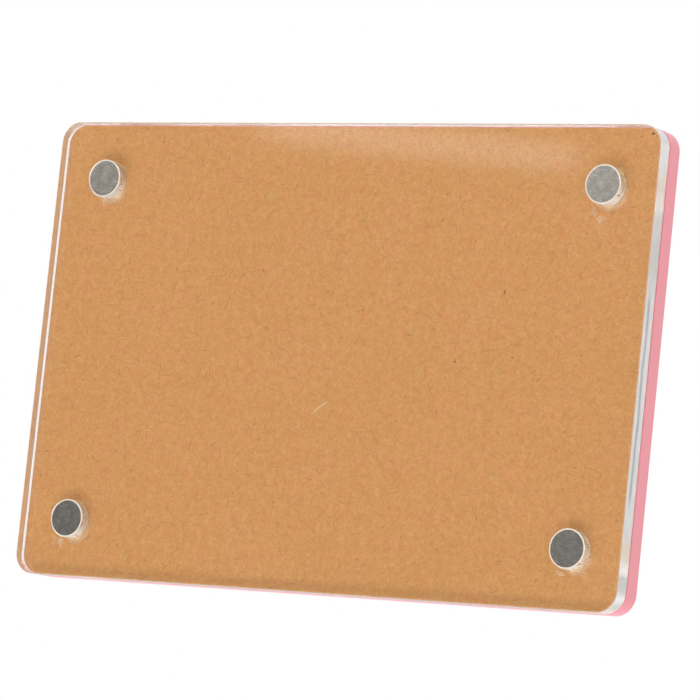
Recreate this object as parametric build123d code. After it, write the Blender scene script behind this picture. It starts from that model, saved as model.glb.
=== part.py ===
from build123d import *
import os

# Magnetic photo frame: a clear front plate and an opaque rear plate with a kraft sheet between them,
# pulled together by disc magnets bonded into bores near the corners of both plates.
# Sizes are in millimetres. X is the viewer's right, the front faces -Y and Z is up.
# The origin is under the middle of the frame, on the surface that its lower edges stand on.

# Plates
plate_width = 150.0
plate_height = 100.0
front_plate_thickness = 4.0
rear_plate_thickness = 4.0
plate_corner_radius = 4.5
plate_edge_break = 0.2

# Sheet between the plates, with a little air on both of its sides
sheet_thickness = 0.3
sheet_margin = 0.35
sheet_air_gap = 0.1

# Disc magnets, flush with the outer face of their plate
magnet_diameter = 8.0
magnet_edge_break = 0.15
magnet_inset = 12.5
magnet_inner_recess = 0.1

# Adhesive between a magnet and its bore
bond_width = 0.16
bond_hairline = 0.01
bond_outer_recess = 0.15

# Places worked out from the sizes above, from the front of the frame to its back
frame_depth = front_plate_thickness + 2 * sheet_air_gap + sheet_thickness + rear_plate_thickness
front_outer_y = -frame_depth / 2
front_inner_y = front_outer_y + front_plate_thickness
sheet_front_y = front_inner_y + sheet_air_gap
sheet_rear_y = sheet_front_y + sheet_thickness
rear_inner_y = sheet_rear_y + sheet_air_gap
rear_outer_y = rear_inner_y + rear_plate_thickness

magnet_radius = magnet_diameter / 2
bore_radius = magnet_radius + bond_width
magnet_reach_x = plate_width / 2 - magnet_inset
magnet_reach_z = plate_height / 2 - magnet_inset
magnet_centres = {
    "top_left": (-magnet_reach_x, magnet_reach_z),
    "top_right": (magnet_reach_x, magnet_reach_z),
    "bottom_left": (-magnet_reach_x, -magnet_reach_z),
    "bottom_right": (magnet_reach_x, -magnet_reach_z),
}


def slab(outline, start_y, end_y):
    """Solid of a flat outline, drawn about the middle of the frame's height, between two depths."""
    low_y, high_y = min(start_y, end_y), max(start_y, end_y)
    seat = Plane(origin=(0, high_y, plate_height / 2), x_dir=(1, 0, 0), z_dir=(0, -1, 0))
    return extrude(seat * outline, amount=high_y - low_y)


def plate(outer_y, inner_y):
    """Round-cornered plate with a bore for each magnet and scraped edges along its outline."""
    outline = RectangleRounded(plate_width, plate_height, plate_corner_radius)
    for centre in magnet_centres.values():
        outline -= Pos(*centre) * Circle(bore_radius)
    blank = slab(outline, outer_y, inner_y)
    faces = blank.faces().filter_by(Axis.Y)
    rims = [edge for face in faces for edge in face.outer_wire().edges()]
    return chamfer(rims, plate_edge_break)


def sheet():
    """Thin sheet that follows the plates' outline, a margin inside it."""
    outline = RectangleRounded(
        plate_width - 2 * sheet_margin,
        plate_height - 2 * sheet_margin,
        plate_corner_radius - sheet_margin,
    )
    return slab(outline, sheet_front_y, sheet_rear_y)


def magnet(centre, outer_y, inner_end_y):
    """Plated disc with broken rims, from the plate's outer face to just short of its inner face."""
    disc = slab(Pos(*centre) * Circle(magnet_radius), outer_y, inner_end_y)
    return chamfer(disc.edges().filter_by(GeomType.CIRCLE), magnet_edge_break)


def bond(centre, outer_y, inner_end_y):
    """Sleeve of adhesive that fills a bore round its magnet, drawn down a little at the outer face."""
    inward = 1 if inner_end_y > outer_y else -1
    ring = Circle(bore_radius - bond_hairline) - Circle(magnet_radius + bond_hairline)
    return slab(Pos(*centre) * ring, outer_y + inward * bond_outer_recess, inner_end_y)


def bonded_magnets(side, outer_y, inner_y):
    """The magnets of one plate and the adhesive round them, by node name."""
    inner_end_y = inner_y + magnet_inner_recess * (-1 if inner_y > outer_y else 1)
    pieces = {}
    for corner, centre in magnet_centres.items():
        pieces[f"{side}_magnet_{corner}"] = magnet(centre, outer_y, inner_end_y)
        pieces[f"{side}_magnet_bond_{corner}"] = bond(centre, outer_y, inner_end_y)
    return pieces


pieces = {
    "clear_front_plate": plate(front_outer_y, front_inner_y),
    **bonded_magnets("front", front_outer_y, front_inner_y),
    "kraft_insert_sheet": sheet(),
    "pink_rear_plate": plate(rear_outer_y, rear_inner_y),
    **bonded_magnets("rear", rear_outer_y, rear_inner_y),
}

os.makedirs("parts", exist_ok=True)
for node, shape in pieces.items():
    export_step(shape, f"parts/{node}.step")
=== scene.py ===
import logging
import math
from dataclasses import dataclass, field
from enum import Enum
from typing import Any

import bmesh
import bpy
from mathutils import Matrix, Vector, noise


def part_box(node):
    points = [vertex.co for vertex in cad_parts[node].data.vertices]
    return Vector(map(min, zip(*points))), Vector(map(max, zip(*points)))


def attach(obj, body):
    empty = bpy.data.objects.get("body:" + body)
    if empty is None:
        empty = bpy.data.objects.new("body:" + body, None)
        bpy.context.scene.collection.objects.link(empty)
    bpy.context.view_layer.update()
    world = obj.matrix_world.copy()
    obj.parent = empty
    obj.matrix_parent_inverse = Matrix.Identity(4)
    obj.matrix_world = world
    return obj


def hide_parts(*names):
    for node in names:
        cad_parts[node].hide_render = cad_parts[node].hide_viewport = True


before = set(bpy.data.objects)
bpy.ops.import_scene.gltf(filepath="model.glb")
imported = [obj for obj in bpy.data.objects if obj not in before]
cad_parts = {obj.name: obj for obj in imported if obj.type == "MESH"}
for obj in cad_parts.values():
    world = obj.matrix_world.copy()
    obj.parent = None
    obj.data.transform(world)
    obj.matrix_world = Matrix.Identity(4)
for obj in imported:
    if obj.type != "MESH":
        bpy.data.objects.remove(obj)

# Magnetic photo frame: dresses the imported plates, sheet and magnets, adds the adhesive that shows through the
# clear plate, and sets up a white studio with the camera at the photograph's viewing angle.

MM = 0.001
# Points of a mesh that are closer than this, in metres, are one point
MERGE_M = 1e-7
# Attribute of the pressed-out film that says how much of the paper each point hides
FILM_COVER = "film_cover"
# Depth part of a normal where a plate's narrow edge ends and where its broad face begins
EDGE_ENDS, FACE_BEGINS = 0.5, 0.9
# Roughness of the noise that makes glue uneven, and how much finer each of its layers is
GLUE_NOISE = (1.0, 2.0)
# Setting of a map range that eases in and out
EASED = {"interpolation_type": "SMOOTHSTEP"}
log = logging.getLogger("photo_frame")

Tree = bpy.types.NodeTree
Node = bpy.types.Node
Socket = bpy.types.NodeSocket
Material = bpy.types.Material
BMesh = bmesh.types.BMesh
# What an input can be linked to: one output of a node, or a node for its first output
Source = Node | Socket
# A shade on a material: its pattern, the pattern's values where it is absent and full, its colour and share
Layer = tuple[Source, float, float, str, float]


class Side(Enum):
    """The two plates, by the body that carries them and the way that their outer face looks along Y."""

    FRONT = ("front", "front_plate", -1.0)
    REAR = ("rear", "rear_plate", 1.0)

    def __init__(self, word: str, body: str, outward: float) -> None:
        """Keeps what tells the two plates apart.

        Args:
            word: First word in the names of the plate's magnets and bonds.
            body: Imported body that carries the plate.
            outward: Sign of Y towards the plate's outer face.
        """
        self.word = word
        self.body = body
        self.outward = outward


class Corner(Enum):
    """The corners that hold magnets, by their words in the names of the pieces."""

    TOP_LEFT = "top_left"
    TOP_RIGHT = "top_right"
    BOTTOM_LEFT = "bottom_left"
    BOTTOM_RIGHT = "bottom_right"

    @property
    def number(self) -> int:
        """Counts the corners from 0, so that no two have the same adhesive."""
        return list(Corner).index(self)


def linear(code: str) -> tuple[float, float, float, float]:
    """Turns an sRGB hex colour into the linear values that shaders take.

    Args:
        code: Colour such as "#d2965f".

    Returns:
        Red, green, blue and an alpha of 1.
    """
    parts = [int(code[k:k + 2], 16) / 255 for k in (1, 3, 5)]
    red, green, blue = (c / 12.92 if c <= 0.04045 else ((c + 0.055) / 1.055) ** 2.4 for c in parts)
    return red, green, blue, 1.0


def add(tree: Tree, kind: str, inputs: dict[str | int, Any] | None = None, **settings: Any) -> Node:
    """Adds one node with its settings, values and links.

    Args:
        tree: Node tree that gets the node.
        kind: Blender's type name of the node.
        inputs: By input name or number, a value to set, or a socket or a node's first output to link.
        settings: Properties of the node.

    Returns:
        The new node.
    """
    node = tree.nodes.new(kind)
    for key, value in settings.items():
        setattr(node, key, value)
    for key, value in (inputs or {}).items():
        if isinstance(value, Node):
            value = value.outputs[0]
        if isinstance(value, Socket):
            tree.links.new(value, node.inputs[key])
        else:
            node.inputs[key].default_value = value
    return node


@dataclass(frozen=True)
class Finish:
    """A finish of the frame. Its patterns are laid out in millimetres of the part's own frame."""

    name: str

    def material(self) -> Material:
        """Makes the Blender material of this finish.

        Returns:
            The material, ready to be given to pieces.
        """
        material = bpy.data.materials.new(self.name)
        material.use_nodes = True
        tree = material.node_tree
        tree.nodes.clear()
        place = add(tree, "ShaderNodeTexCoord")
        in_mm = add(tree, "ShaderNodeMapping", {"Vector": place.outputs["Object"], "Scale": (1 / MM,) * 3})
        surface = self.surface(tree, in_mm, place.outputs["Normal"])
        add(tree, "ShaderNodeOutputMaterial", {"Surface": surface})
        return material

    def surface(self, tree: Tree, mm: Source, normal: Source) -> Source:
        """Builds the shader.

        Args:
            tree: The material's node tree.
            mm: Place in millimetres.
            normal: Normal in the part's frame.

        Returns:
            The shader.
        """
        raise NotImplementedError

    def facing(self, tree: Tree, normal: Source) -> Source:
        """Says how far a face looks to the front or the back.

        Args:
            tree: The material's node tree.
            normal: Normal in the part's frame.

        Returns:
            A value of 1 on broad faces and 0 on faces that look sideways.
        """
        axes = add(tree, "ShaderNodeSeparateXYZ", {"Vector": normal})
        return add(tree, "ShaderNodeMath", {0: axes.outputs["Y"]}, operation="ABSOLUTE")

    def sawn_edge(self, tree: Tree, normal: Source) -> Source:
        """Masks the narrow faces round a plate.

        Args:
            tree: The material's node tree.
            normal: Normal in the part's frame.

        Returns:
            A value of 1 on the edges and 0 on the two broad faces.
        """
        return add(tree, "ShaderNodeMapRange", {
            "Value": self.facing(tree, normal), "From Min": EDGE_ENDS, "From Max": FACE_BEGINS,
            "To Min": 1.0, "To Max": 0.0})

    def layered(self, tree: Tree, colour: str, layers: list[Layer]) -> Source:
        """Lays shades over a colour, one after the other.

        Args:
            tree: The material's node tree.
            colour: Colour that lies lowest.
            layers: The shades, lowest first.

        Returns:
            The colour that shows.
        """
        tone: Any = linear(colour)
        for pattern, absent, full, shade, share in layers:
            amount = add(tree, "ShaderNodeMapRange", {
                "Value": pattern, "From Min": absent, "From Max": full, "To Max": share})
            tone = add(tree, "ShaderNodeMix", {
                0: amount, 6: tone, 7: linear(shade)}, data_type="RGBA").outputs[2]
        return tone


@dataclass(frozen=True)
class ClearCastAcrylic(Finish):
    """Water-clear cast sheet: flawless broad faces, and unevenly buffed edges, of which some are hazy.

    The right edge also has a grey band of painted shade along it, given by its distance behind the front face
    and its two ends.
    """

    name: str = "clear_cast_acrylic"
    tint: str = "#fefefd"
    # Grey of the band of painted shade along the right edge
    streak: str = "#b2b5b7"
    ior: float = 1.49
    mark_spacing_mm: float = 1.0
    mark_stretch: float = 0.03
    mark_depth_mm: float = 0.005
    edge_roughness: float = 0.28
    haze: float = 0.02
    haze_right: float = 0.27
    haze_top: float = 0.45
    haze_reach_mm: float = 4.5
    streak_back_mm: float = 1.5
    streak_half_mm: float = 0.7
    streak_core: float = 0.3
    streak_ends_mm: tuple[float, float] = (20.0, 67.0)
    streak_fade_mm: float = 5.0
    streak_wave_mm: float = 22.0
    streak_sway_mm: float = 0.4

    def near(self, tree: Tree, place: Source, end: float, share: float) -> Source:
        """Makes a value that rises towards one end of the plate.

        Args:
            tree: The material's node tree.
            place: Place along one axis, in millimetres.
            end: Place of the plate's end, in metres.
            share: Value at that end.

        Returns:
            The value, which is 0 away from the end.
        """
        return add(tree, "ShaderNodeMapRange", {
            "Value": place, "From Min": end / MM - self.haze_reach_mm, "From Max": end / MM, "To Max": share})

    def painted_shade_band(self, tree: Tree, mm: Source, axes: Node) -> Source:
        """Draws the grey band of painted shade along the right edge, which wanders a little and fades out at
        both ends.

        Args:
            tree: The material's node tree.
            mm: Place in millimetres.
            axes: Node that gives the same place by axis.

        Returns:
            A value of 1 in the streak and 0 elsewhere.
        """
        low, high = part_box("clear_front_plate")
        line = low.y / MM + self.streak_back_mm
        wander = add(tree, "ShaderNodeTexNoise", {
            "Vector": mm, "Scale": 1 / self.streak_wave_mm, "Detail": 2.0})
        middle = add(tree, "ShaderNodeMapRange", {
            "Value": wander, "From Min": 0.3, "From Max": 0.7,
            "To Min": line - self.streak_sway_mm, "To Max": line + self.streak_sway_mm})
        off = add(tree, "ShaderNodeMath", {0: axes.outputs["Y"], 1: middle}, operation="SUBTRACT")
        away = add(tree, "ShaderNodeMath", {0: off}, operation="ABSOLUTE")
        cover = self.near(tree, axes.outputs["X"], high.x, 1.0)
        first, last = self.streak_ends_mm
        for source, none, full in (
                (away, self.streak_half_mm, self.streak_core * self.streak_half_mm),
                (axes.outputs["Z"], first, first + self.streak_fade_mm),
                (axes.outputs["Z"], last, last - self.streak_fade_mm)):
            inside = add(tree, "ShaderNodeMapRange", {
                "Value": source, "From Min": none, "From Max": full}, **EASED)
            cover = add(tree, "ShaderNodeMath", {0: cover, 1: inside}, operation="MULTIPLY")
        return cover

    def surface(self, tree: Tree, mm: Source, normal: Source) -> Source:
        """Builds clear plastic with edges that were buffed lengthwise.

        Args:
            tree: The material's node tree.
            mm: Place in millimetres.
            normal: Normal in the part's frame.

        Returns:
            The shader.
        """
        edge = self.sawn_edge(tree, normal)
        along = add(tree, "ShaderNodeMapping", {
            "Vector": mm, "Scale": (self.mark_stretch, 1.0, self.mark_stretch)})
        marks = add(tree, "ShaderNodeTexNoise", {
            "Vector": along, "Scale": 1 / self.mark_spacing_mm, "Detail": 3.0, "Roughness": 0.6})
        height = add(tree, "ShaderNodeMath", {0: marks, 1: edge}, operation="MULTIPLY")
        bump = add(tree, "ShaderNodeBump", {
            "Height": height, "Strength": 0.5, "Distance": self.mark_depth_mm * MM})
        rough = add(tree, "ShaderNodeMath", {0: edge, 1: self.edge_roughness}, operation="MULTIPLY")
        axes = add(tree, "ShaderNodeSeparateXYZ", {"Vector": mm})
        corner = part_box("clear_front_plate")[1]
        hazy: Any = self.haze
        for axis, end, share in (("X", corner.x, self.haze_right), ("Z", corner.z, self.haze_top)):
            hazy = add(tree, "ShaderNodeMath", {
                0: hazy, 1: self.near(tree, axes.outputs[axis], end, share)}, operation="ADD")
        milk = add(tree, "ShaderNodeMath", {0: hazy, 1: edge}, operation="MULTIPLY")
        clear = add(tree, "ShaderNodeMath", {0: 1.0, 1: milk}, operation="SUBTRACT")
        # Painted shade: a grey band along the right edge, mixed into the base colour
        dull = add(tree, "ShaderNodeMath", {
            0: self.painted_shade_band(tree, mm, axes), 1: edge}, operation="MULTIPLY")
        return add(tree, "ShaderNodeBsdfPrincipled", {
            "Base Color": self.layered(tree, self.tint, [(dull, 0.0, 1.0, self.streak, 1.0)]),
            "Transmission Weight": clear, "IOR": self.ior, "Roughness": rough, "Normal": bump})


@dataclass(frozen=True)
class PinkCastAcrylic(Finish):
    """Opaque pastel pink cast sheet: glossy, with slightly duller edges and light that sinks in a little."""

    name: str = "pink_cast_acrylic"
    colour: str = "#ef97a1"
    shade: str = "#e88f9a"
    ior: float = 1.49
    cloud_mm: float = 14.0
    mark_spacing_mm: float = 0.6
    mark_stretch: float = 0.06
    mark_depth_mm: float = 0.01
    face_roughness: float = 0.08
    edge_roughness: float = 0.3
    light_depth_mm: float = 1.2

    def surface(self, tree: Tree, mm: Source, normal: Source) -> Source:
        """Builds glossy pink plastic.

        Args:
            tree: The material's node tree.
            mm: Place in millimetres.
            normal: Normal in the part's frame.

        Returns:
            The shader.
        """
        edge = self.sawn_edge(tree, normal)
        cloud = add(tree, "ShaderNodeTexNoise", {"Vector": mm, "Scale": 1 / self.cloud_mm, "Detail": 4.0})
        across = add(tree, "ShaderNodeMapping", {"Vector": mm, "Scale": (1.0, self.mark_stretch, 1.0)})
        marks = add(tree, "ShaderNodeTexNoise", {
            "Vector": across, "Scale": 1 / self.mark_spacing_mm, "Detail": 3.0})
        height = add(tree, "ShaderNodeMath", {0: marks, 1: edge}, operation="MULTIPLY")
        bump = add(tree, "ShaderNodeBump", {
            "Height": height, "Strength": 0.4, "Distance": self.mark_depth_mm * MM})
        rough = add(tree, "ShaderNodeMapRange", {
            "Value": edge, "To Min": self.face_roughness, "To Max": self.edge_roughness})
        return add(tree, "ShaderNodeBsdfPrincipled", {
            "Base Color": self.layered(tree, self.colour, [(cloud, 0.0, 1.0, self.shade, 1.0)]),
            "IOR": self.ior, "Roughness": rough, "Subsurface Weight": 0.2,
            "Subsurface Radius": (1.0, 0.4, 0.4), "Subsurface Scale": self.light_depth_mm * MM,
            "Normal": bump})


@dataclass(frozen=True)
class Strand:
    """A kind of fibre in paper: how far apart, long, wide and frequent it is, its shade and its strength."""

    apart_mm: float
    length_mm: float
    width_mm: float
    share: float
    shade: str
    weight: float


@dataclass(frozen=True)
class UnbleachedKraft(Finish):
    """Unbleached kraft paper: clouded warm brown pulp, with felted fibres, pale strands and bark specks.

    The finest fibres of real kraft are too thin for the picture, so they are drawn 0.1 mm wide and more.
    """

    name: str = "unbleached_kraft_paper"
    pulp: str = "#d1995e"
    pulp_ochre: str = "#cd9859"
    pulp_red: str = "#d4945d"
    floc_dark: str = "#b87a47"
    floc_pale: str = "#e4b47f"
    cloud_mm: float = 18.0
    blush_mm: float = 3.2
    floc_mm: float = 1.9
    grain_mm: float = 0.5
    grain_depth_mm: float = 0.03
    strands: tuple[Strand, ...] = (
        Strand(1.2, 1.1, 0.12, 0.7, "#a86c3a", 0.34),
        Strand(1.4, 1.3, 0.12, 0.6, "#ecc291", 0.18),
        Strand(3.6, 2.6, 0.16, 0.6, "#9c6532", 0.42),
        Strand(4.4, 3.0, 0.16, 0.4, "#efc897", 0.18),
        Strand(7.5, 0.8, 0.26, 0.45, "#7d5128", 0.45),
    )
    strand_shift_mm: tuple[float, float] = (31.7, 17.3)
    strand_turn: float = 0.9
    strand_bend: float = 0.6
    strand_fade: tuple[float, float] = (0.6, 0.3)

    def strand_cover(self, tree: Tree, flat: Source, number: int, strand: Strand) -> Source:
        """Scatters short bent fibres, at most one to a cell, each turned its own way.

        Args:
            tree: The material's node tree.
            flat: Place on the sheet in millimetres, across and up it.
            number: Number of the layer, so that no two layers are alike.
            strand: Kind of fibre.

        Returns:
            A value of 1 on the fibres and 0 between them.
        """
        right, up = self.strand_shift_mm
        laid = add(tree, "ShaderNodeMapping", {
            "Vector": flat, "Location": (right * number, up * number, 0.0),
            "Rotation": (0.0, 0.0, self.strand_turn * number)})
        cell = add(tree, "ShaderNodeTexVoronoi", {
            "Vector": laid, "Scale": 1 / strand.apart_mm}, voronoi_dimensions="2D")
        luck = add(tree, "ShaderNodeSeparateColor", {"Color": cell.outputs["Color"]})
        away = add(tree, "ShaderNodeVectorMath", {0: laid, 1: cell.outputs["Position"]}, operation="SUBTRACT")
        turn = add(tree, "ShaderNodeMath", {0: luck.outputs["Red"], 1: math.pi}, operation="MULTIPLY")
        turned = add(tree, "ShaderNodeVectorRotate", {"Vector": away, "Angle": turn}, rotation_type="Z_AXIS")
        axes = add(tree, "ShaderNodeSeparateXYZ", {"Vector": turned})
        along = axes.outputs["X"]
        square = add(tree, "ShaderNodeMath", {0: along, 1: along}, operation="MULTIPLY")
        most = self.strand_bend / strand.length_mm
        bend = add(tree, "ShaderNodeMapRange", {
            "Value": luck.outputs["Green"], "To Min": -most, "To Max": most})
        sag = add(tree, "ShaderNodeMath", {0: square, 1: bend}, operation="MULTIPLY")
        beside = add(tree, "ShaderNodeMath", {0: axes.outputs["Y"], 1: sag}, operation="SUBTRACT")
        cover = add(tree, "ShaderNodeMath", {0: luck.outputs["Blue"], 1: strand.share}, operation="LESS_THAN")
        none, full = self.strand_fade
        for source, size in ((beside, strand.width_mm), (along, strand.length_mm)):
            distance = add(tree, "ShaderNodeMath", {0: source}, operation="ABSOLUTE")
            inside = add(tree, "ShaderNodeMapRange", {
                "Value": distance, "From Min": none * size, "From Max": full * size}, **EASED)
            cover = add(tree, "ShaderNodeMath", {0: cover, 1: inside}, operation="MULTIPLY")
        return cover

    def surface(self, tree: Tree, mm: Source, normal: Source) -> Source:
        """Builds matt brown paper.

        Args:
            tree: The material's node tree.
            mm: Place in millimetres.
            normal: Normal in the part's frame; not used here.

        Returns:
            The shader.
        """
        cloud, blush, floc, grain = (
            add(tree, "ShaderNodeTexNoise", {
                "Vector": mm, "Scale": 1 / size, "Detail": 4.0, "Roughness": rough})
            for size, rough in ((self.cloud_mm, 0.55), (self.blush_mm, 0.5), (self.floc_mm, 0.7),
                                (self.grain_mm, 0.6)))
        layers: list[Layer] = [
            (cloud, 0.38, 0.66, self.pulp_ochre, 1.0),
            (blush, 0.45, 0.72, self.pulp_red, 0.9),
            (floc, 0.50, 0.82, self.floc_dark, 0.42),
            (floc, 0.50, 0.18, self.floc_pale, 0.42),
            (grain, 0.50, 0.80, self.floc_dark, 0.45),
            (grain, 0.50, 0.20, self.floc_pale, 0.40),
        ]
        flat = add(tree, "ShaderNodeMapping", {"Vector": mm, "Rotation": (math.pi / 2, 0.0, 0.0)})
        for number, strand in enumerate(self.strands):
            cover = self.strand_cover(tree, flat, number, strand)
            layers.append((cover, 0.0, 1.0, strand.shade, strand.weight))
        bump = add(tree, "ShaderNodeBump", {
            "Height": grain, "Strength": 0.35, "Distance": self.grain_depth_mm * MM})
        return add(tree, "ShaderNodeBsdfPrincipled", {
            "Base Color": self.layered(tree, self.pulp, layers), "Roughness": 0.85,
            "Specular IOR Level": 0.25, "Normal": bump})


@dataclass(frozen=True)
class LooseFibre(Finish):
    """A single fibre on the paper: dull, a little uneven in colour along its length."""

    name: str = "bleached_fibre"
    colour: str = "#debb92"
    shade: str = "#d2a576"
    uneven_mm: float = 0.6

    def surface(self, tree: Tree, mm: Source, normal: Source) -> Source:
        """Builds a dull fibre.

        Args:
            tree: The material's node tree.
            mm: Place in millimetres.
            normal: Normal in the part's frame; not used here.

        Returns:
            The shader.
        """
        along = add(tree, "ShaderNodeTexNoise", {"Vector": mm, "Scale": 1 / self.uneven_mm, "Detail": 2.0})
        return add(tree, "ShaderNodeBsdfPrincipled", {
            "Base Color": self.layered(tree, self.colour, [(along, 0.0, 1.0, self.shade, 1.0)]),
            "Roughness": 0.8})


@dataclass(frozen=True)
class TumbledNickel(Finish):
    """Nickel plate on a tumbled magnet: a clouded grey mirror with pits and scratches, painted lighter on its
    pits and rims as painted highlights.
    """

    name: str = "tumbled_nickel_plate"
    colour: str = "#cac4ba"
    clouded: str = "#b2aca3"
    # Lighter colour of the pits, which are also rougher: a painted glint
    pit_glint: str = "#d6d0c7"
    # Near-white on rims and side walls: a painted highlight
    rim: str = "#f0eae2"
    cloud_mm: float = 1.5
    pit_mm: float = 0.30
    pit_stops: tuple[float, float] = (0.62, 0.80)
    scratch_mm: float = 0.2
    scratch_stretch: float = 0.10
    scratch_turn: float = 0.25
    scratch_depth_mm: float = 0.02
    smooth: float = 0.22
    rough: float = 0.376

    def surface(self, tree: Tree, mm: Source, normal: Source) -> Source:
        """Builds worn plated metal, which is less smooth in its pits.

        Args:
            tree: The material's node tree.
            mm: Place in millimetres.
            normal: Normal in the part's frame.

        Returns:
            The shader.
        """
        cloud = add(tree, "ShaderNodeTexNoise", {
            "Vector": mm, "Scale": 1 / self.cloud_mm, "Detail": 3.0, "Roughness": 0.55})
        pits = add(tree, "ShaderNodeTexNoise", {"Vector": mm, "Scale": 1 / self.pit_mm, "Detail": 2.0})
        turned = add(tree, "ShaderNodeMapping", {
            "Vector": mm, "Rotation": (0.0, self.scratch_turn, 0.0),
            "Scale": (self.scratch_stretch, 1.0, 1.0)})
        lines = add(tree, "ShaderNodeTexNoise", {
            "Vector": turned, "Scale": 1 / self.scratch_mm, "Detail": 2.0})
        none, full = self.pit_stops
        rough = add(tree, "ShaderNodeMapRange", {
            "Value": pits, "From Min": none, "From Max": full, "To Min": self.smooth, "To Max": self.rough})
        bump = add(tree, "ShaderNodeBump", {
            "Height": lines, "Strength": 0.2, "Distance": self.scratch_depth_mm * MM})
        colour = self.layered(tree, self.colour, [
            (cloud, 0.35, 0.65, self.clouded, 1.0),
            # The pits' painted glint, then the painted highlight on faces that turn sideways
            (pits, none, full, self.pit_glint, 0.6),
            (self.facing(tree, normal), 0.97, 0.85, self.rim, 1.0)])
        return add(tree, "ShaderNodeBsdfPrincipled", {
            "Base Color": colour, "Metallic": 1.0, "Roughness": rough, "Normal": bump})


@dataclass(frozen=True)
class CuredAdhesive(Finish):
    """Cured adhesive round a magnet: amber where it is thin, milky at its lip, and painted whiter on faces that
    look down, as painted light from below.
    """

    name: str = "cured_adhesive"
    # Near-white painted on faces that look down: painted light from below
    lit_underside: str = "#fcf7f1"
    lip: str = "#f6e9da"
    colour: str = "#e9d2b4"
    streak: str = "#cda679"
    bare: str = "#a87a4c"
    ior: float = 1.47
    streak_mm: float = 0.9
    arc_mm: float = 0.55
    arc_stretch: float = 0.12

    def surface(self, tree: Tree, mm: Source, normal: Source) -> Source:
        """Builds milky set glue.

        Args:
            tree: The material's node tree.
            mm: Place in millimetres.
            normal: Normal in the part's frame.

        Returns:
            The shader.
        """
        flow = add(tree, "ShaderNodeTexNoise", {
            "Vector": mm, "Scale": 1 / self.streak_mm, "Detail": 4.0, "Distortion": 0.6})
        deep = add(tree, "ShaderNodeMapping", {
            "Vector": mm, "Scale": (self.arc_stretch, 1.0, self.arc_stretch)})
        arcs = add(tree, "ShaderNodeTexNoise", {"Vector": deep, "Scale": 1 / self.arc_mm, "Detail": 2.0})
        axes = add(tree, "ShaderNodeSeparateXYZ", {"Vector": normal})
        colour = self.layered(tree, self.colour, [
            (flow, 0.42, 0.70, self.streak, 0.60),
            (arcs, 0.48, 0.62, self.bare, 0.75),
            # Painted light: faces that look down are painted whiter, as if lit from below
            (axes.outputs["Z"], 0.0, -0.7, self.lit_underside, 0.8),
            (self.facing(tree, normal), 0.3, 0.7, self.lip, 1.0)])
        return add(tree, "ShaderNodeBsdfPrincipled", {
            "Base Color": colour, "Roughness": 0.22, "IOR": self.ior})


@dataclass(frozen=True)
class AdhesiveFilm(Finish):
    """Adhesive pressed out into a thin film: it pales the paper behind it and thins away at its rim."""

    name: str = "adhesive_film"
    colour: str = "#ffdeb2"
    ior: float = 1.47
    streak_mm: float = 1.1
    thin: float = 0.7

    def surface(self, tree: Tree, mm: Source, normal: Source) -> Source:
        """Builds a see-through film that is denser in streaks.

        Args:
            tree: The material's node tree.
            mm: Place in millimetres.
            normal: Normal in the part's frame; not used here.

        Returns:
            The shader.
        """
        flow = add(tree, "ShaderNodeTexNoise", {
            "Vector": mm, "Scale": 1 / self.streak_mm, "Detail": 1.0, "Distortion": 0.4})
        streaks = add(tree, "ShaderNodeMapRange", {
            "Value": flow, "From Min": 0.38, "From Max": 0.62, "To Min": self.thin})
        laid = add(tree, "ShaderNodeAttribute", attribute_name=FILM_COVER)
        cover = add(tree, "ShaderNodeMath", {0: laid.outputs["Fac"], 1: streaks}, operation="MULTIPLY")
        return add(tree, "ShaderNodeBsdfPrincipled", {
            "Base Color": linear(self.colour), "Roughness": 0.5, "IOR": self.ior, "Specular IOR Level": 0.1,
            "Alpha": cover})


@dataclass(frozen=True)
class PaleFloor(Finish):
    """Matt white studio floor, seen from above only, so that a camera below its level looks past it."""

    name: str = "pale_studio_floor"
    colour: str = "#f4f3f1"
    shade: str = "#f2f1ef"
    cloud_mm: float = 60.0

    def surface(self, tree: Tree, mm: Source, normal: Source) -> Source:
        """Builds a matt floor that is clear from below.

        Args:
            tree: The material's node tree.
            mm: Place in millimetres.
            normal: Normal in the part's frame; not used here.

        Returns:
            The shader.
        """
        faint = add(tree, "ShaderNodeTexNoise", {"Vector": mm, "Scale": 1 / self.cloud_mm, "Detail": 2.0})
        matt = add(tree, "ShaderNodeBsdfDiffuse", {
            "Color": self.layered(tree, self.colour, [(faint, 0.0, 1.0, self.shade, 1.0)])})
        clear = add(tree, "ShaderNodeBsdfTransparent")
        side = add(tree, "ShaderNodeNewGeometry")
        return add(tree, "ShaderNodeMixShader", {0: side.outputs["Backfacing"], 1: matt, 2: clear})


@dataclass
class Wardrobe:
    """All materials of the scene, made once."""

    clear: Material = field(default_factory=ClearCastAcrylic().material)
    pink: Material = field(default_factory=PinkCastAcrylic().material)
    kraft: Material = field(default_factory=UnbleachedKraft().material)
    nickel: Material = field(default_factory=TumbledNickel().material)
    pale_fibre: Material = field(default_factory=LooseFibre().material)
    dark_fibre: Material = field(default_factory=LooseFibre("bark_fibre", "#855a33", "#654226").material)
    adhesive: Material = field(default_factory=CuredAdhesive().material)
    film: Material = field(default_factory=AdhesiveFilm().material)
    floor: Material = field(default_factory=PaleFloor().material)


def dress(node: str, material: Material) -> None:
    """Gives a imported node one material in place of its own.

    Args:
        node: Name of the node.
        material: Material that it gets.
    """
    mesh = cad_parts[node].data
    mesh.materials.clear()
    mesh.materials.append(material)
    log.info("dressed %s in %s", node, material.name)


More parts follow.
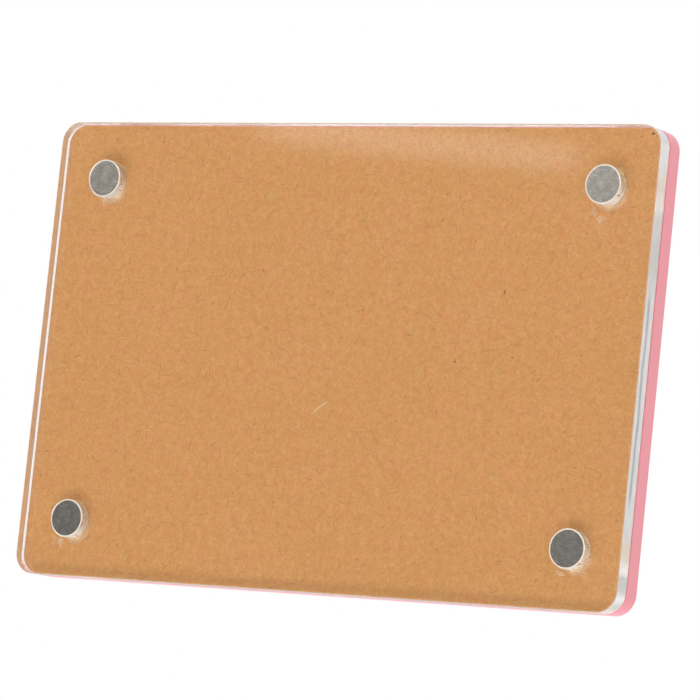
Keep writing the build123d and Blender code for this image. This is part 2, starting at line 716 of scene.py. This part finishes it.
def piece_from(bm: BMesh, name: str, material: Material, body: str) -> bpy.types.Object:
    """Turns a bmesh into a piece that faces outwards and rides on a body.

    Args:
        bm: Mesh in the part's frame; it is freed here.
        name: Name of the new piece.
        material: Material of the whole piece.
        body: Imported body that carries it.

    Returns:
        The new object.
    """
    bmesh.ops.recalc_face_normals(bm, faces=bm.faces)
    mesh = bpy.data.meshes.new(name)
    bm.to_mesh(mesh)
    bm.free()
    mesh.shade_smooth()
    mesh.materials.append(material)
    piece = bpy.data.objects.new(name, mesh)
    bpy.context.scene.collection.objects.link(piece)
    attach(piece, body)
    log.info("built %s with %d faces", name, len(mesh.polygons))
    return piece


def ring_of(profile: list[tuple[float, float]], steps: int) -> BMesh:
    """Spins a closed outline about the Y axis.

    Args:
        profile: Points of the outline, as distance from the axis and place along it.
        steps: Parts of the full turn.

    Returns:
        A closed ring.
    """
    bm = bmesh.new()
    points = [bm.verts.new((radius, along, 0.0)) for radius, along in profile]
    edges = [bm.edges.new((a, b)) for a, b in zip(points, points[1:] + points[:1])]
    bmesh.ops.spin(bm, geom=points + edges, cent=(0, 0, 0), axis=(0, 1, 0), angle=math.tau, steps=steps,
                   use_merge=True)
    bmesh.ops.remove_doubles(bm, verts=bm.verts, dist=MERGE_M)
    bmesh.ops.recalc_face_normals(bm, faces=bm.faces)
    return bm


@dataclass
class MagnetBond:
    """The adhesive of one magnet: it wets the bore unevenly and is drawn down between magnet and rim.

    Its lip lies on the magnet's broken rim, and its inner wall reaches a hair into the magnet.
    """

    side: Side
    corner: Corner
    lip_mm: float = 0.1
    lip_over_mm: float = 0.12
    dip_out_mm: float = 0.05
    dip_share: float = 0.2
    grip_mm: float = 0.005
    wet_mm: float = 0.03
    wet_offset: float = 0.36
    wet_contrast: float = 2.5
    wet_least: float = -0.6
    patches_per_mm: float = 0.55
    patch_stretch: float = 0.35
    patch_layers: int = 3
    seed_steps: tuple[float, float] = (7.3, 3.1)
    wall_slack_m: float = 1e-6
    steps: int = 144
    rows: int = 14

    def profile(self, held: float, bore: float, depth: float) -> list[tuple[float, float]]:
        """Draws the section of the ring.

        Args:
            held: Radius of the magnet in metres.
            bore: Radius of the ring in metres.
            depth: Length of the ring in metres.

        Returns:
            The closed outline, as distance from the axis and place along it.
        """
        half = depth / 2
        lip = self.lip_mm * MM
        grip = held - self.grip_mm * MM
        wall = [(bore, half - depth * k / self.rows) for k in range(self.rows + 1)]
        return [(held - self.lip_over_mm * MM, half + lip),
                (held + self.dip_out_mm * MM, half + self.dip_share * lip), *wall,
                (grip, -half), (grip, half - lip)]

    def build(self, material: Material) -> bpy.types.Object:
        """Builds the ring in place of the plain packed one.

        Args:
            material: Material of the adhesive.

        Returns:
            The new piece.
        """
        node = f"{self.side.word}_magnet_bond_{self.corner.value}"
        low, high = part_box(node)
        bore = (high.x - low.x) / 2
        magnet_low, magnet_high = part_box(f"{self.side.word}_magnet_{self.corner.value}")
        held = (magnet_high.x - magnet_low.x) / 2
        bm = ring_of(self.profile(held, bore, high.y - low.y), self.steps)
        by_corner, by_side = self.seed_steps
        seed = Vector((by_corner * self.corner.number, by_side * self.side.outward, 0.0))
        for vert in bm.verts:
            radius = math.hypot(vert.co.x, vert.co.z)
            if radius > bore - self.wall_slack_m:
                spot = Vector((vert.co.x, self.patch_stretch * vert.co.y, vert.co.z)) / MM
                patch = noise.fractal(spot * self.patches_per_mm + seed, *GLUE_NOISE, self.patch_layers)
                wet = patch + self.wet_offset
                grown = radius + self.wet_mm * MM * max(self.wet_least, min(1.0, self.wet_contrast * wet))
                vert.co.x *= grown / radius
                vert.co.z *= grown / radius
        bmesh.ops.scale(bm, vec=(1.0, self.side.outward, 1.0), verts=bm.verts)
        bmesh.ops.translate(bm, vec=(low + high) / 2, verts=bm.verts)
        piece = piece_from(bm, f"{self.side.word}_bond_ring_{self.corner.value}", material, self.side.body)
        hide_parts(node)
        return piece


@dataclass(frozen=True)
class Lobe:
    """A stretch of a bore's rim where adhesive was pressed out: its direction, reach, width and density."""

    angle_deg: float
    reach_mm: float
    width_deg: float
    cover: float


@dataclass(frozen=True)
class Dab:
    """A drop of adhesive near a magnet: its place from the magnet's axis, size, lean and density."""

    right_mm: float
    up_mm: float
    width_mm: float
    length_mm: float
    lean_deg: float
    cover: float


SQUEEZED: dict[Corner, tuple[Lobe | Dab, ...]] = {
    Corner.TOP_LEFT: (
        Lobe(-58.0, 2.0, 38.0, 1.0), Lobe(-100.0, 0.9, 24.0, 0.8), Lobe(10.0, 0.4, 40.0, 0.4)),
    Corner.TOP_RIGHT: (
        Lobe(-40.0, 1.5, 36.0, 0.5), Lobe(-88.0, 1.0, 40.0, 0.95),
        Dab(-2.75, -5.3, 1.1, 3.4, 22.0, 0.40), Dab(-1.1, -7.0, 2.6, 1.9, 14.0, 0.45)),
    Corner.BOTTOM_LEFT: (
        Lobe(-40.0, 1.7, 48.0, 0.35), Lobe(-80.0, 0.6, 40.0, 0.9),
        Dab(-2.6, -5.0, 2.0, 2.4, -8.0, 0.45), Dab(-4.4, -5.0, 3.2, 1.6, 70.0, 0.15)),
    Corner.BOTTOM_RIGHT: (
        Lobe(-44.0, 1.6, 40.0, 0.45), Lobe(-80.0, 0.6, 40.0, 0.9),
        Dab(-2.4, -4.9, 1.4, 3.0, 80.0, 0.35), Dab(3.6, -5.2, 1.6, 3.4, 24.0, 0.20)),
}


@dataclass
class SqueezedAdhesive:
    """The thin film of adhesive that was pressed out behind the clear plate, round one magnet."""

    corner: Corner
    parts: tuple[Lobe | Dab, ...]
    thickness_mm: float = 0.04
    gap_mm: float = 0.002
    start_mm: float = 0.4
    least_mm: float = 0.15
    least_cover: float = 0.25
    ripples: float = 2.2
    ripple_mm: float = 0.1
    ripple_share: float = 0.35
    ripple_layers: int = 4
    dab_ripples: float = 1.3
    dab_ripple_layers: int = 3
    dab_parts: int = 40
    rows: int = 8
    steps: int = 180

    def reach(self, angle: float) -> tuple[float, float]:
        """Works out how far the film goes past the bore and how dense it is there.

        Args:
            angle: Direction about the magnet's axis, in radians.

        Returns:
            Distance from the bore's wall in millimetres, and the share of the paper that is hidden.
        """
        spot = Vector((self.ripples * math.cos(angle), self.ripples * math.sin(angle), self.corner.number))
        ripple = noise.fractal(spot, *GLUE_NOISE, self.ripple_layers)
        out = self.least_mm + self.ripple_mm * ripple
        cover = self.least_cover
        for lobe in self.parts:
            if isinstance(lobe, Lobe):
                away = (math.degrees(angle) - lobe.angle_deg + 180.0) % 360.0 - 180.0
                share = math.exp(-((away / lobe.width_deg) ** 2))
                out += lobe.reach_mm * share * (1.0 + self.ripple_share * ripple)
                cover = max(cover, lobe.cover * share)
        return out, cover

    def film(self, bore: float) -> BMesh:
        """Spins the film's section, draws it out to its ragged outline and thins it towards there.

        Args:
            bore: Radius of the bore in millimetres.

        Returns:
            The film about the origin.
        """
        across = [1.0 + k / self.rows for k in range(self.rows + 1)]
        bm = ring_of([(x, 0.0) for x in across] + [(x, 1.0) for x in reversed(across)], self.steps)
        layer = bm.verts.layers.float.new(FILM_COVER)
        start = bore - self.start_mm
        for vert in bm.verts:
            share = math.hypot(vert.co.x, vert.co.z) - 1.0
            angle = math.atan2(vert.co.z, vert.co.x)
            out, cover = self.reach(angle)
            radius = (start + share * (self.start_mm + out)) * MM
            vert[layer] = cover * (1.0 - share ** 2) ** 2
            vert.co = Vector((radius * math.cos(angle), vert.co.y * self.thickness_mm * MM,
                              radius * math.sin(angle)))
        return bm

    def add_dab(self, bm: BMesh, dab: Dab) -> None:
        """Adds a flat drop with a ragged outline to the film.

        Args:
            bm: Mesh that gets the drop.
            dab: Place and size of the drop.
        """
        layer = bm.verts.layers.float[FILM_COVER]
        drop = bmesh.ops.create_uvsphere(bm, u_segments=self.dab_parts, v_segments=self.dab_parts // 2,
                                         radius=1.0)["verts"]
        for vert in drop:
            vert[layer] = dab.cover * vert.co.y ** 2
            spot = Vector((self.dab_ripples * vert.co.x, dab.up_mm, self.dab_ripples * vert.co.z))
            ripple = noise.fractal(spot, *GLUE_NOISE, self.dab_ripple_layers)
            vert.co.x *= 1.0 + self.ripple_share * ripple
            vert.co.z *= 1.0 + self.ripple_share * ripple
        size = Vector((dab.width_mm, self.thickness_mm, dab.length_mm)) / 2 * MM
        bmesh.ops.scale(bm, vec=size, verts=drop)
        lean = Matrix.Rotation(math.radians(-dab.lean_deg), 3, "Y")
        bmesh.ops.rotate(bm, cent=(0, 0, 0), verts=drop, matrix=lean)
        place = Vector((dab.right_mm, self.thickness_mm / 2, dab.up_mm)) * MM
        bmesh.ops.translate(bm, vec=place, verts=drop)

    def build(self, material: Material) -> bpy.types.Object:
        """Builds the film against the clear plate's inner face.

        Args:
            material: Material of the film.

        Returns:
            The new piece.
        """
        bond_low, bond_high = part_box(f"front_magnet_bond_{self.corner.value}")
        bm = self.film((bond_high.x - bond_low.x) / 2 / MM)
        for dab in self.parts:
            if isinstance(dab, Dab):
                self.add_dab(bm, dab)
        low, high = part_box(f"front_magnet_{self.corner.value}")
        inner_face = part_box("clear_front_plate")[1].y
        axis = Vector(((low.x + high.x) / 2, inner_face + self.gap_mm * MM, (low.z + high.z) / 2))
        bmesh.ops.translate(bm, vec=axis, verts=bm.verts)
        return piece_from(bm, f"squeezed_adhesive_{self.corner.value}", material, "front_plate")


@dataclass
class StrayFibre:
    """One fibre that lies on the front of the sheet, bent along an arc and slimmer towards both ends."""

    name: str
    right_mm: float
    up_mm: float
    length_mm: float
    lean_deg: float
    pale: bool
    bend_mm: float
    width_mm: float
    height_mm: float = 0.06
    sunk_mm: float = 0.01
    slimming: float = 0.7
    sides: int = 8
    steps: int = 12

    def build(self, material: Material) -> bpy.types.Object:
        """Builds the fibre by turning its section along the arc.

        Args:
            material: Material of the fibre.

        Returns:
            The new piece.
        """
        bend = self.bend_mm * MM
        sweep = self.length_mm / self.bend_mm
        bm = bmesh.new()
        bmesh.ops.create_circle(bm, cap_ends=True, segments=self.sides, radius=0.5)
        bmesh.ops.scale(bm, vec=(self.width_mm * MM, self.height_mm * MM, 1.0), verts=bm.verts)
        bmesh.ops.translate(bm, vec=(bend, 0.0, 0.0), verts=bm.verts)
        bmesh.ops.spin(bm, geom=bm.verts[:] + bm.edges[:] + bm.faces[:], cent=(0, 0, 0), axis=(0, 1, 0),
                       angle=sweep, steps=self.steps)
        bmesh.ops.remove_doubles(bm, verts=bm.verts, dist=MERGE_M)
        bmesh.ops.holes_fill(bm, edges=bm.edges)
        bmesh.ops.rotate(bm, cent=(0, 0, 0), verts=bm.verts, matrix=Matrix.Rotation(-sweep / 2, 3, "Y"))
        for vert in bm.verts:
            radius = math.hypot(vert.co.x, vert.co.z)
            share = 2 * math.atan2(vert.co.z, vert.co.x) / sweep
            slim = bend + (radius - bend) * (1.0 - self.slimming * share ** 2)
            vert.co.x *= slim / radius
            vert.co.z *= slim / radius
        bmesh.ops.translate(bm, vec=(-bend, 0.0, 0.0), verts=bm.verts)
        bmesh.ops.rotate(bm, cent=(0, 0, 0), verts=bm.verts,
                         matrix=Matrix.Rotation(math.radians(self.lean_deg), 3, "Y"))
        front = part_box("kraft_insert_sheet")[0].y
        lift = (self.height_mm / 2 - self.sunk_mm) * MM
        bmesh.ops.translate(bm, vec=(self.right_mm * MM, front - lift, self.up_mm * MM), verts=bm.verts)
        return piece_from(bm, self.name, material, "insert")


STRAY_FIBRES = (
    StrayFibre("pale_fibre_middle", -2.0, 39.5, 4.2, 232.0, True, 7.0, 0.6),
    StrayFibre("dark_fibre_right", 40.4, 65.0, 1.4, 14.0, False, 2.0, 0.24),
    StrayFibre("dark_fibre_left", -19.7, 68.2, 0.7, -35.0, False, 2.0, 0.2),
    StrayFibre("bark_speck_middle", 30.1, 50.1, 0.5, 20.0, False, 1.0, 0.4),
    StrayFibre("bark_speck_corner", 71.7, 98.5, 0.7, 80.0, False, 1.0, 0.5),
)


@dataclass
class FrameAssembly:
    """The photo frame: two plates, a sheet, eight magnets and their adhesive."""

    wardrobe: Wardrobe

    def dress_plates(self) -> None:
        """Gives the two plates and the sheet their finishes."""
        dress("clear_front_plate", self.wardrobe.clear)
        dress("pink_rear_plate", self.wardrobe.pink)
        dress("kraft_insert_sheet", self.wardrobe.kraft)

    def dress_magnets(self) -> None:
        """Gives every magnet its plating."""
        for side in Side:
            for corner in Corner:
                dress(f"{side.word}_magnet_{corner.value}", self.wardrobe.nickel)

    def add_adhesive(self) -> None:
        """Builds the adhesive round every magnet and behind the clear plate."""
        for side in Side:
            for corner in Corner:
                MagnetBond(side, corner).build(self.wardrobe.adhesive)
        for corner, parts in SQUEEZED.items():
            SqueezedAdhesive(corner, parts).build(self.wardrobe.film)

    def add_fibres(self) -> None:
        """Lays the few fibres that stand out on the sheet."""
        for fibre in STRAY_FIBRES:
            fibre.build(self.wardrobe.pale_fibre if fibre.pale else self.wardrobe.dark_fibre)


@dataclass(frozen=True)
class Softbox:
    """A lit patch of the dome: its level, and the angles where it starts, is full, fades and ends."""

    level: float
    rise_deg: tuple[float, float, float, float]
    left_deg: tuple[float, float, float, float]


@dataclass
class Studio:
    """White studio: a soft dome that is darker where the camera stands, a pale floor and the camera."""

    camera_place_mm: tuple[float, float, float] = (514.044, -800.013, -52.073)
    camera_right: tuple[float, float, float] = (0.844240, 0.525779, 0.104001)
    camera_up: tuple[float, float, float] = (-0.029811, -0.147679, 0.988586)
    camera_back: tuple[float, float, float] = (0.535136, -0.837704, -0.109003)
    lens_mm: float = 232.411
    sensor_mm: float = 36.0
    clip_m: tuple[float, float] = (0.01, 50.0)
    floor_drop_mm: float = 0.2
    floor_half_m: float = 3.0
    floor_tone: float = 0.865
    floor_fade: float = 0.04
    dome_level: float = 0.95
    front_level: float = 0.94
    front_from: float = 0.1
    front_full: float = -0.6
    behind_full: float = 0.25
    room_share: float = 0.15
    room_towards: tuple[float, float, float] = (-0.66, -0.74, -0.10)
    room_deg: tuple[float, float] = (6.0, 46.0)
    key_level: float = 1.6
    key_towards: tuple[float, float, float] = (-0.30, -0.55, -0.78)
    key_deg: tuple[float, float] = (12.0, 48.0)
    softboxes: tuple[Softbox, ...] = (
        Softbox(1.5, (9.6, 12.0, 30.0, 40.0), (0.0, 12.0, 40.0, 58.0)),
        Softbox(0.95, (8.6, 8.95, 9.0, 9.3), (29.6, 30.3, 33.6, 34.4)),
    )
    clear_bounces: int = 40
    mirror_bounces: int = 32
    films_crossed: int = 32

    def build_camera(self) -> None:
        """Places the camera as the photograph was taken."""
        lens = bpy.data.cameras.new("photo_camera")
        lens.lens, lens.sensor_width = self.lens_mm, self.sensor_mm
        lens.clip_start, lens.clip_end = self.clip_m
        camera = bpy.data.objects.new("photo_camera", lens)
        axes = Matrix((self.camera_right, self.camera_up, self.camera_back)).transposed()
        place = Vector(self.camera_place_mm) * MM
        camera.matrix_world = Matrix.LocRotScale(place, axes.to_quaternion(), None)
        bpy.context.scene.collection.objects.link(camera)
        bpy.context.scene.camera = camera

    def build_floor(self, material: Material) -> None:
        """Lays the floor just under the frame. Light from below still reaches the frame's lower faces.

        Args:
            material: Material of the floor.
        """
        bm = bmesh.new()
        bmesh.ops.create_grid(bm, x_segments=1, y_segments=1, size=self.floor_half_m)
        bmesh.ops.translate(bm, vec=(0.0, 0.0, -self.floor_drop_mm * MM), verts=bm.verts)
        mesh = bpy.data.meshes.new("studio_floor")
        bm.to_mesh(mesh)
        bm.free()
        mesh.materials.append(material)
        floor = bpy.data.objects.new("studio_floor", mesh)
        for ray in ("diffuse", "glossy", "transmission", "shadow", "volume_scatter"):
            setattr(floor, f"visible_{ray}", False)
        bpy.context.scene.collection.objects.link(floor)

    def lobe(self, tree: Tree, towards: Source, centre: tuple[float, float, float],
             within: tuple[float, float], levels: tuple[float, float]) -> Source:
        """Makes a round soft patch of the dome.

        Args:
            tree: The world's node tree.
            towards: Direction that is looked in.
            centre: Direction of the patch's middle.
            within: Angles from there, in degrees, where the patch is full and where it ends.
            levels: Values in the middle and outside.

        Returns:
            The value in that direction.
        """
        full, ends = (math.cos(math.radians(angle)) for angle in within)
        near = add(tree, "ShaderNodeVectorMath", {
            0: towards, 1: Vector(centre).normalized()}, operation="DOT_PRODUCT")
        return add(tree, "ShaderNodeMapRange", {
            "Value": near.outputs["Value"], "From Min": ends, "From Max": full,
            "To Min": levels[1], "To Max": levels[0]}, **EASED)

    def softbox_light(self, tree: Tree, axes: Node, level: Source) -> Source:
        """Adds the softboxes to the light of the dome.

        Args:
            tree: The world's node tree.
            axes: Node that gives the direction that is looked in, by axis.
            level: Light of the dome without them.

        Returns:
            The light of both.
        """
        rise = add(tree, "ShaderNodeMath", {0: axes.outputs["Z"]}, operation="ARCSINE")
        left = add(tree, "ShaderNodeMath", {0: axes.outputs["X"], 1: -1.0}, operation="MULTIPLY")
        ahead = add(tree, "ShaderNodeMath", {0: axes.outputs["Y"], 1: -1.0}, operation="MULTIPLY")
        aside = add(tree, "ShaderNodeMath", {0: left, 1: ahead}, operation="ARCTAN2")
        for box in self.softboxes:
            light: Any = box.level
            for source, degrees in ((rise, box.rise_deg), (aside, box.left_deg)):
                stops = [math.radians(stop) for stop in degrees]
                for dark, lit in (stops[:2], stops[:1:-1]):
                    flank = add(tree, "ShaderNodeMapRange", {
                        "Value": source, "From Min": dark, "From Max": lit}, **EASED)
                    light = add(tree, "ShaderNodeMath", {0: light, 1: flank}, operation="MULTIPLY")
            level = add(tree, "ShaderNodeMath", {0: level, 1: light}, operation="ADD")
        return level

    def build_world(self) -> None:
        """Makes the dome: white to the camera and behind the frame, dim where the frame mirrors it.

        The key light from below has no mirror image, so it lights the paper and isn't seen in the plates.
        What shows through the clear plate has the floor's tone below.
        """
        world = bpy.data.worlds.new("studio_dome")
        bpy.context.scene.world = world
        world.use_nodes = True
        tree = world.node_tree
        tree.nodes.clear()
        towards = add(tree, "ShaderNodeTexCoord").outputs["Generated"]
        axes = add(tree, "ShaderNodeSeparateXYZ", {"Vector": towards})
        rays = add(tree, "ShaderNodeLightPath").outputs
        front = add(tree, "ShaderNodeMapRange", {
            "Value": axes.outputs["Y"], "From Min": self.front_from, "From Max": self.front_full,
            "To Min": self.dome_level, "To Max": self.front_level}, **EASED)
        room = self.lobe(tree, towards, self.room_towards, self.room_deg, (self.room_share, 1.0))
        dull = add(tree, "ShaderNodeMath", {0: 1.0, 1: rays["Is Glossy Ray"]}, operation="SUBTRACT")
        unmirrored = add(tree, "ShaderNodeMath", {
            0: dull, 1: rays["Diffuse Depth"]}, operation="MAXIMUM", use_clamp=True)
        key = add(tree, "ShaderNodeMath", {
            0: self.lobe(tree, towards, self.key_towards, self.key_deg, (self.key_level, 0.0)),
            1: unmirrored}, operation="MULTIPLY")
        level = add(tree, "ShaderNodeMath", {0: front, 1: room, 2: key}, operation="MULTIPLY_ADD")
        behind = add(tree, "ShaderNodeMapRange", {
            "Value": axes.outputs["Y"], "From Min": 0.0, "From Max": self.behind_full}, **EASED)
        through = add(tree, "ShaderNodeMath", {
            0: rays["Is Glossy Ray"], 1: rays["Is Transmission Ray"]}, operation="MAXIMUM")
        backdrop = add(tree, "ShaderNodeMath", {0: through, 1: behind}, operation="MULTIPLY")
        seen = add(tree, "ShaderNodeMath", {0: rays["Is Camera Ray"], 1: backdrop}, operation="MAXIMUM")
        white = add(tree, "ShaderNodeMapRange", {
            "Value": axes.outputs["Z"], "From Min": -self.floor_fade, "From Max": 0.0,
            "To Min": self.floor_tone})
        strength = add(tree, "ShaderNodeMix", {0: seen, 2: self.softbox_light(tree, axes, level), 3: white})
        light = add(tree, "ShaderNodeBackground", {"Color": (1.0, 1.0, 1.0, 1.0), "Strength": strength})
        add(tree, "ShaderNodeOutputWorld", {"Surface": light})

    def allow_deep_light(self) -> None:
        """Lets light cross the clear plate unblurred, pass all films and go to and fro until it leaves."""
        cycles = bpy.context.scene.cycles
        cycles.max_bounces = self.clear_bounces
        cycles.blur_glossy = 0.0
        cycles.glossy_bounces = self.mirror_bounces
        cycles.transmission_bounces = self.clear_bounces
        cycles.transparent_max_bounces = self.films_crossed

    def build(self, floor: Material) -> None:
        """Sets up camera, floor, light and the plain view.

        Args:
            floor: Material of the floor.
        """
        self.build_camera()
        self.build_floor(floor)
        self.build_world()
        self.allow_deep_light()
        bpy.context.scene.view_settings.view_transform = "Standard"


def main() -> None:
    """Builds the frame and its studio."""
    logging.basicConfig(level=logging.INFO, format="%(name)s: %(message)s")
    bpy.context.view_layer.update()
    wardrobe = Wardrobe()
    assembly = FrameAssembly(wardrobe)
    assembly.dress_plates()
    assembly.dress_magnets()
    assembly.add_adhesive()
    assembly.add_fibres()
    Studio().build(wardrobe.floor)


if __name__ == "__main__":
    main()
